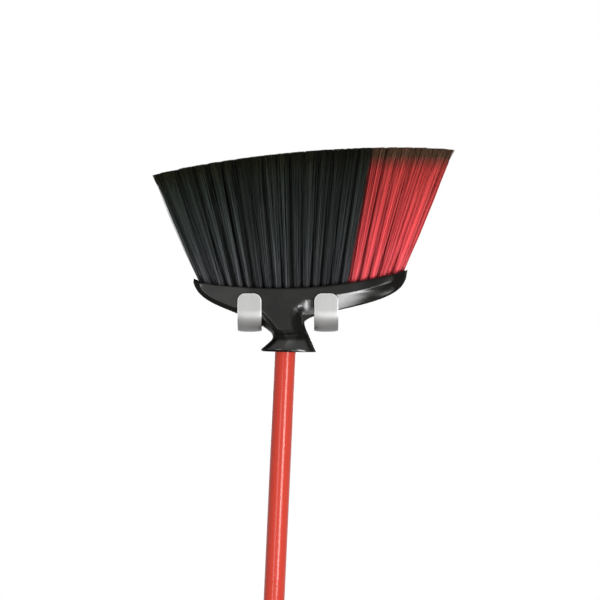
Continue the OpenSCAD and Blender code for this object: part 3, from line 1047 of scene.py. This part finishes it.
def crease_ridges(creases, wing_loops):
    """Creases the left bevel's ridge and the shield's left ridge, on the front and on the back."""
    count = len(wing_loops[0])
    for t, loop, lower in zip(WING_STEPS, wing_loops, wing_loops[1:]):
        for station, crease, start in RIDGES:
            for i in (station, count - station):
                if t >= start:
                    bridge(loop[i], lower[i])[creases] = crease


def fill_face(mesh, loop):
    """Closes the tufts' face with strips from the front of its loop to the back."""
    count = len(loop)
    half = count // 2
    for i in range(1, half - 1):
        mesh.faces.new([loop[i], loop[i + 1], loop[count - i - 1], loop[count - i]])
    mesh.faces.new([loop[0], loop[1], loop[count - 1]])
    mesh.faces.new([loop[half], loop[half + 1], loop[half - 1]])


def painted_reflection_at(x, z, normal):
    """Coat weight of the head at a point, a painted reflection: strong on its open faces and the right facet,
    and painted shade, a thin coat, on its bevels, the neck's sides, beside the hook and towards the right
    end.
    """
    facing = ease(*FACING_TURN, abs(normal.y))
    face = mix(WING_REFLECTION, FACE_REFLECTION, ease(SHIELD_TOP[0] - LEFT_SLOPE, SHIELD_TOP[0], x))
    face = mix(face, LIP_FAR_REFLECTION, ease(*LIP_FADE, x))
    value = mix(EDGE_REFLECTION, face, ease(*OPEN_TURN, abs(normal.y)))
    side = ease(*SIDE_TURN, abs(normal.x)) * (1 - ease(*SIDE_FADE, z))
    value = mix(value, EDGE_REFLECTION, side)
    skirt = 1 - ease(*SKIRT_FADE, z)
    skirt_face = facing * ease(*FOOT_TURN, normal.z)
    groove = (1 - skirt) * (1 - ease(*GROOVE_FADE, z))
    value = mix(value, mix(EDGE_REFLECTION, SKIRT_REFLECTION, skirt_face), skirt)
    value = value * mix(1.0, GROOVE_REFLECTION, groove)
    facet = facing * ease(*SCOOP_START, x) * ease(*FACET_TURN, -normal.z) * ease(*NECK_FADE, z)
    far = ease(*FAR_FADE, x + FAR_FADE_DEPTH * max(crease_height(x) - z, 0.0))
    near = mix(mix(SCOOP_REFLECTION, EDGE_REFLECTION, ease(*SCOOP_END, x)), 1.0, ease(*FACET_FADE, x))
    return mix(value, mix(near, FAR_REFLECTION, far), facet)


def make_broom_head():
    """Moulded head: a loop of points extruded from ring to ring, creased, closed and subdivided."""
    face_rings = [
        (FaceRing(RIM, POCKET_DROP, 0.0), POCKET_CREASE),
        (FaceRing(RIM, 0.0, INNER_HORN), RIM_CREASE),
        (FaceRing(0.0, 0.0, 1.0), LIP_CREASE),
    ]
    wing_rings = [(WingRing(t), WING_CREASE if t == 0 else 0.0) for t in WING_STEPS]
    outlines = [(ring.points(), crease) for ring, crease in face_rings + wing_rings + neck_rings()]
    count = len(outlines[0][0])
    outlines += [(socket_ring(radius, rise, count), crease) for radius, rise, crease in SOCKET_RINGS]
    clear_selection()
    bpy.ops.mesh.primitive_circle_add(vertices=count, radius=HEAD_HALF * MM)
    head = bpy.context.object
    mesh = open_mesh(head)
    creases = mesh.edges.layers.float.new("crease_edge")
    loops = draw_loops(mesh, creases, outlines)
    first_wing = len(face_rings)
    crease_ridges(creases, loops[first_wing:first_wing + len(WING_STEPS)])
    fill_face(mesh, loops[0])
    mesh.faces.new(loops[-1])
    bmesh.update_edit_mesh(head.data)
    bpy.ops.mesh.select_all(action="SELECT")
    bpy.ops.mesh.normals_make_consistent(inside=False)
    close_mesh()
    apply_modifier(head, "SUBSURF", levels=2, render_levels=2)
    smooth_shading(head, 50.0)
    # Painted reflection and shade of the head, kept on each point as its coat weight
    store(head, "gloss_and_painted_reflection", [
        painted_reflection_at(vert.co.x / MM, vert.co.z / MM - BROOM_Z, vert.normal) for vert in head.data.vertices
    ])
    dress(head, "dressed_broom_head", "broom", black_plastic, "broom_head")


# Tuft rows
def trim_z(x):
    return TRIM_H - (x - TRIM_X) ** 2 / (2 * TRIM_R)


def column_x(column):
    return FIRST_COLUMN_X + column * COLUMN_W * COLUMN_STRETCH


def tuft_centres(row, colour):
    """Middles of the tufts of one colour in a row: even rows stand between the tufts of their neighbours."""
    first, last = ROW_COLUMNS[row]
    columns = range(first, last + 1)
    shift = 0.5
    if row % 2 == 0:
        columns = range(first - 1, last + 1)
        shift = 1.0
    border = BLACK_COLUMNS - (1 if row == 2 else 0)
    y = (row - MIDDLE_ROW) * ROW_W
    return [(column_x(c + shift), y) for c in columns if (c < border) == (colour == "black")]


def disc_point(chance):
    angle = chance.uniform(0, 2 * math.pi)
    reach = chance.random() ** ROOT_POWER
    return reach * math.cos(angle), reach * math.sin(angle)


def filament_path(centre, at_end, dx, dy, chance):
    """Root, tip and bow of one filament of a tuft, in the head's frame."""
    root = Vector((centre[0] + dx * ROOT_X, centre[1] + dy * ROOT_Y, 0.0))
    root.z = face_z(root.x) - SINK
    stray = WILD_STRAY if chance.random() < WILD_SHARE else STRAY
    reach = TIP_X
    if at_end:
        outward = dx if centre[0] > FAN_X else -dx
        stray = OUTER_STRAY if outward > 0 else INNER_STRAY
        reach = OUTER_TIP_X if outward > 0 else INNER_TIP_X
    tip_x = centre[0] + FAN_SPREAD * (centre[0] - FAN_X) + dx * reach + chance.gauss(0, stray)
    tip_y = centre[1] * (1 + FAN_DEPTH) + dy * TIP_Y + chance.gauss(0, stray * STRAY_Y)
    tip = Vector((tip_x, tip_y, trim_z(tip_x) - abs(chance.gauss(0, TRIM_STRAY))))
    bow = Vector((chance.gauss(0, BOW_X), chance.gauss(0, BOW_Y), 0.0))
    return root, tip, bow


class Strands:
    """A curve of many thin strands, with the tone and the share along its filament of each point."""

    def __init__(self, name):
        self.curve = bpy.data.curves.new(name, "CURVE")
        self.curve.dimensions = "3D"
        self.curve.bevel_depth = FILAMENT_R * MM
        self.curve.bevel_resolution = 0
        self.tones = []
        self.alongs = []

    def add(self, points, radii, alongs, tone):
        spline = self.curve.splines.new("POLY")
        spline.points.add(len(points) - 1)
        for place, point, radius in zip(spline.points, points, radii):
            place.co = (*to_place(point), 1.0)
            place.radius = radius
        self.tones += [tone] * len(points)
        self.alongs += alongs

    def add_filament(self, root, tip, bow, tone, chance):
        """One bowed filament, split into flags near its tip."""
        split = 1 - FLAG_LENGTH * chance.uniform(*FLAG_RANGE) / (tip - root).length
        steps = (*FILAMENT_STEPS, split)
        points = [root.lerp(tip, s) + bow * (4 * s * (1 - s)) for s in steps]
        self.add(points, FILAMENT_RADII, steps, tone)
        for _ in range(FLAG_COUNT):
            lean = Vector((chance.gauss(0, FLAG_X), chance.gauss(0, FLAG_Y), 0.0))
            end = tip + lean
            end.z = trim_z(end.x) - abs(chance.gauss(0, FLAG_STRAY))
            knee = points[-1].lerp(end, 0.5) + lean * FLAG_KNEE
            self.add((points[-1], knee, end), FLAG_RADII, (split, 0.5 + split / 2, 1.0), tone)

    def to_mesh(self):
        tuft = bpy.data.objects.new(self.curve.name, self.curve)
        bpy.context.scene.collection.objects.link(tuft)
        take(tuft)
        bpy.ops.object.convert(target="MESH")
        tuft = bpy.context.object
        sides = len(tuft.data.vertices) // len(self.tones)
        for label, values in (("tone", self.tones), ("along", self.alongs)):
            store(tuft, label, [value for value in values for _ in range(sides)])
        for polygon in tuft.data.polygons:
            polygon.use_smooth = True
        return tuft


def tuft_tone(row, x):
    """Brightest tone of a tuft: painted shade darkens the tufts inside the fan, and painted light lifts those
    at its left end out of the shadow of the tufts in front of them.
    """
    if row in INNER_ROWS and column_x(INNER_COLUMNS[0]) < x < column_x(INNER_COLUMNS[1]):
        return INNER_SHADE
    return LEFT_LIGHT if x < column_x(LEFT_COLUMNS) else 1.0


def make_tuft_row(row, colour, finish):
    name = f"bristles_{colour}_{row}"
    chance = random.Random(ROW_SEED * row + len(colour))
    strands = Strands(name)
    for centre in tuft_centres(row, colour):
        at_end = min(abs(centre[0] - column_x(end)) for end in END_COLUMNS) < COLUMN_W * END_NEAR
        brightest = tuft_tone(row, centre[0])
        clump_tones = [chance.uniform(DARK_CLUMP, 1.0) for _ in range(CLUMPS)]
        for _ in range(END_FILAMENTS if at_end else TUFT_FILAMENTS):
            dx, dy = disc_point(chance)
            root, tip, bow = filament_path(centre, at_end, dx, dy, chance)
            clump = min(CLUMPS - 1, int((dx + 1) / 2 * CLUMPS))
            # Painted shade: each filament is darker towards the sides of its tuft, then takes its clump's
            # tone and its own
            tone = brightest * (1 - SIDE_SHADE * dx * dx) * mix(clump_tones[clump], chance.random(), OWN_TONE)
            strands.add_filament(root, tip, bow, tone, chance)
    dress(strands.to_mesh(), name, "broom", finish, f"{colour}_tufts_{row}")


# Handle pieces
def place_on_handle(obj):
    obj.rotation_euler = (0.0, HANDLE_LEAN, 0.0)
    obj.location = to_place((HANDLE_X, 0.0, -SKIRT_DROP))
    apply_place(obj)


def make_handle_tube():
    clear_selection()
    length = HANDLE_TOP - HANDLE_FOOT
    bpy.ops.mesh.primitive_cylinder_add(
        vertices=96, radius=HANDLE_R * MM, depth=length * MM, end_fill_type="NOTHING",
        location=(0, 0, (HANDLE_FOOT + length / 2) * MM),
    )
    tube = bpy.context.object
    apply_place(tube)
    apply_modifier(tube, "SOLIDIFY", thickness=HANDLE_WALL * MM, offset=-1.0, use_even_offset=True)
    soften_edges(tube, TUBE_EDGE, segments=2, angle=60.0)
    smooth_straight(tube)
    place_on_handle(tube)
    dress(tube, "dressed_handle_tube", "handle", red_coating, "handle_tube")


def make_hang_tab(hole_z):
    """A short cylinder across the handle, its upper half drawn up into the collar."""
    top = HANDLE_FOOT - COLLAR_T + TAB_SINK
    tab = add_cylinder(TAB_R, TAB_T, (0, 0, hole_z), "Y", CAP_SIDES)
    open_mesh(tab)
    select_parts(tab, "FACE", lambda face: face.normal.z > TAB_UPWARD)
    bpy.ops.mesh.extrude_region_move(TRANSFORM_OT_translate={"value": (0, 0, TAB_LEN * MM)})
    mesh = bmesh.from_edit_mesh(tab.data)
    for vert in mesh.verts:
        if vert.select:
            vert.co.z = top * MM
    bmesh.update_edit_mesh(tab.data)
    close_mesh()
    return tab


def make_handle_cap():
    """Collar and plug round the axis, with a flat rounded tab and its hang hole under them."""
    hole_z = HANDLE_FOOT - COLLAR_T - TAB_LEN
    plug_r = HANDLE_R - HANDLE_WALL - CAP_CLEARANCE
    plug_mid = HANDLE_FOOT + (PLUG_H - COLLAR_T) / 2
    cap = add_cylinder(
        HANDLE_R - CAP_CLEARANCE, COLLAR_T, (0, 0, HANDLE_FOOT - COLLAR_T / 2), sides=CAP_SIDES
    )
    join_on(cap, add_cylinder(plug_r, PLUG_H + COLLAR_T, (0, 0, plug_mid), sides=CAP_SIDES))
    join_on(cap, make_hang_tab(hole_z))
    cut_away(cap, add_cylinder(HANG_HOLE_R, HANG_CUTTER, (0, 0, hole_z), "Y"))
    soften_edges(cap, CAP_EDGE)
    smooth_straight(cap)
    place_on_handle(cap)
    dress(cap, "dressed_handle_cap", "handle", cap_plastic, "handle_cap")


# Stage, light and camera
def seen_background(tree):
    """1 for rays that show the background: the camera's, and those in reflections and through glass."""
    path = new_node(tree, "ShaderNodeLightPath")
    seen = math_node(tree, "MAXIMUM", path.outputs["Is Camera Ray"], path.outputs["Is Glossy Ray"])
    return math_node(tree, "MAXIMUM", seen, path.outputs["Is Transmission Ray"])


def make_floor():
    """Pale floor with the object's shadow, fading to the white of the world towards its edge."""
    clear_selection()
    bpy.ops.mesh.primitive_plane_add(size=FLOOR_SIZE, location=(0, 0, FLOOR_Z))
    floor = bpy.context.object
    floor.name = "floor"
    material, tree, shader = start_material("pale_floor")
    set_inputs(shader, {
        "Base Color": (0.55, 0.55, 0.55, 1.0), "Roughness": 0.9, "Emission Color": (1.0, 1.0, 1.0, 1.0),
    })
    coordinates = new_node(tree, "ShaderNodeTexCoord")
    reach = new_node(tree, "ShaderNodeVectorMath", operation="LENGTH")
    tree.links.new(coordinates.outputs["Object"], reach.inputs[0])
    fade = spread(tree, reach.outputs["Value"], *FLOOR_GLOW, *FLOOR_FADE)
    glow = math_node(tree, "MULTIPLY", fade, seen_background(tree))
    tree.links.new(glow, shader.inputs["Emission Strength"])
    floor.data.materials.append(material)


def make_world():
    """White for the camera and in reflections, softer as light on the object."""
    world = bpy.data.worlds.new("studio")
    bpy.context.scene.world = world
    world.use_nodes = True
    tree = world.node_tree
    background = tree.nodes["Background"]
    set_inputs(background, {"Color": (1.0, 1.0, 1.0, 1.0)})
    tree.links.new(spread(tree, seen_background(tree), WORLD_LIGHT, 1.0), background.inputs["Strength"])


def add_lamp(name, place, power, width, height, aim=LAMP_AIM):
    lamp = bpy.data.lights.new(name, "AREA")
    lamp.shape = "RECTANGLE"
    lamp.size = width
    lamp.size_y = height
    lamp.energy = power
    holder = bpy.data.objects.new(name, lamp)
    holder.location = place
    holder.rotation_euler = (Vector(aim) - Vector(place)).to_track_quat("-Z", "Y").to_euler()
    bpy.context.scene.collection.objects.link(holder)


def make_lamps():
    add_lamp("key", (0.68, -1.34, -0.36), power=13.0, width=0.45, height=0.42)
    add_lamp("left_box", (-0.5, -1.4, -0.4), power=3.4, width=0.36, height=0.5)
    add_lamp("low_key", (0.25, -1.27, -0.74), power=5.0, width=0.34, height=0.16)
    add_lamp("front", (0.1, -1.6, 0.42), power=1.5, width=0.5, height=0.25)
    add_lamp("back", (0.0, 1.8, 0.1), power=14.0, width=1.2, height=0.8, aim=(0.0, -0.03, -0.3))


def make_camera():
    """Straight in front of the broom, framed as the photograph is across the broom's middle plane."""
    data = bpy.data.cameras.new("photo_camera")
    data.sensor_fit = "HORIZONTAL"
    data.sensor_width = SENSOR_MM
    data.lens = SENSOR_MM * CAMERA_DISTANCE / PHOTO_ACROSS
    camera = bpy.data.objects.new("photo_camera", data)
    camera.location = (CAMERA_X, MID_Y * MM - CAMERA_DISTANCE, CAMERA_Z)
    camera.rotation_euler = (math.radians(90), 0, 0)
    bpy.context.scene.collection.objects.link(camera)
    bpy.context.scene.camera = camera


make_wall_plate()
make_hook(-1, "left_hook")
make_hook(1, "right_hook")
set_finish(nodes["hook_rivets"], rivet_aluminium)
make_broom_head()
for tuft_row in ROW_COLUMNS:
    make_tuft_row(tuft_row, "black", black_bristle)
    make_tuft_row(tuft_row, "red", red_bristle)
make_handle_tube()
set_finish(nodes["handle_thread"], thread_plastic)
make_handle_cap()
make_floor()
make_world()
make_lamps()
make_camera()
bpy.context.scene.view_settings.view_transform = "Standard"

bpy.context.view_layer.update()
